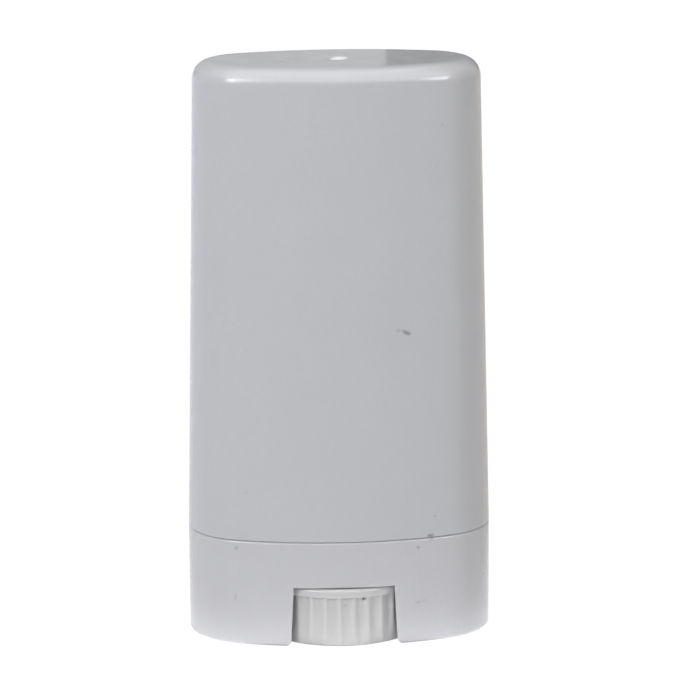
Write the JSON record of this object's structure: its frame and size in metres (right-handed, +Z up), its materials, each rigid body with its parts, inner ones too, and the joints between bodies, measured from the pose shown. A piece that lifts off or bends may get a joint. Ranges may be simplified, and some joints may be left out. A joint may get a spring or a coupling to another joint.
{
  "type": "oval twist-up deodorant stick container",
  "caption": "Plain white oval twist-up stick container with a lift-off cap, a skirted base and a fluted thumb dial that winds an elevator up the barrel.",
  "frame": {"origin": "centre of the base's lower edge, on the surface that the container stands on", "axes": "+Z up along the screw, +X along the oval's long side, +Y towards the back: -Y is the front, and the back has the same window"},
  "size_m": [0.035, 0.0196, 0.0667],
  "materials": {
    "cap_plastic": "polished top, satin sides, white",
    "barrel_plastic": "satin, white",
    "dial_plastic": "satin, white",
    "elevator_plastic": "matt, natural white"
  },
  "bodies": {
    "base": {"barrel": "barrel_plastic"},
    "cap": {"cap": "cap_plastic"},
    "dial": {"dial_screw": "dial_plastic"},
    "elevator": {"elevator": "elevator_plastic"}
  },
  "joints": [
    {"name": "cap_lift", "type": "slide", "parent": "base", "child": "cap", "axis": [0, 0, 1], "range_m": [0, 0.052]},
    {"name": "dial_turn", "type": "hinge", "parent": "base", "child": "dial", "pos_m": [0, 0, 0], "axis": [0, 0, -1], "range_deg": [0, 3780]},
    {"name": "elevator_rise", "type": "slide", "parent": "base", "child": "elevator", "axis": [0, 0, 1], "range_m": [0, 0.042]}
  ],
  "couplings": [
    {"joint": "elevator_rise", "follows": "dial_turn", "m_per_rad": 0.00063662}
  ]
}
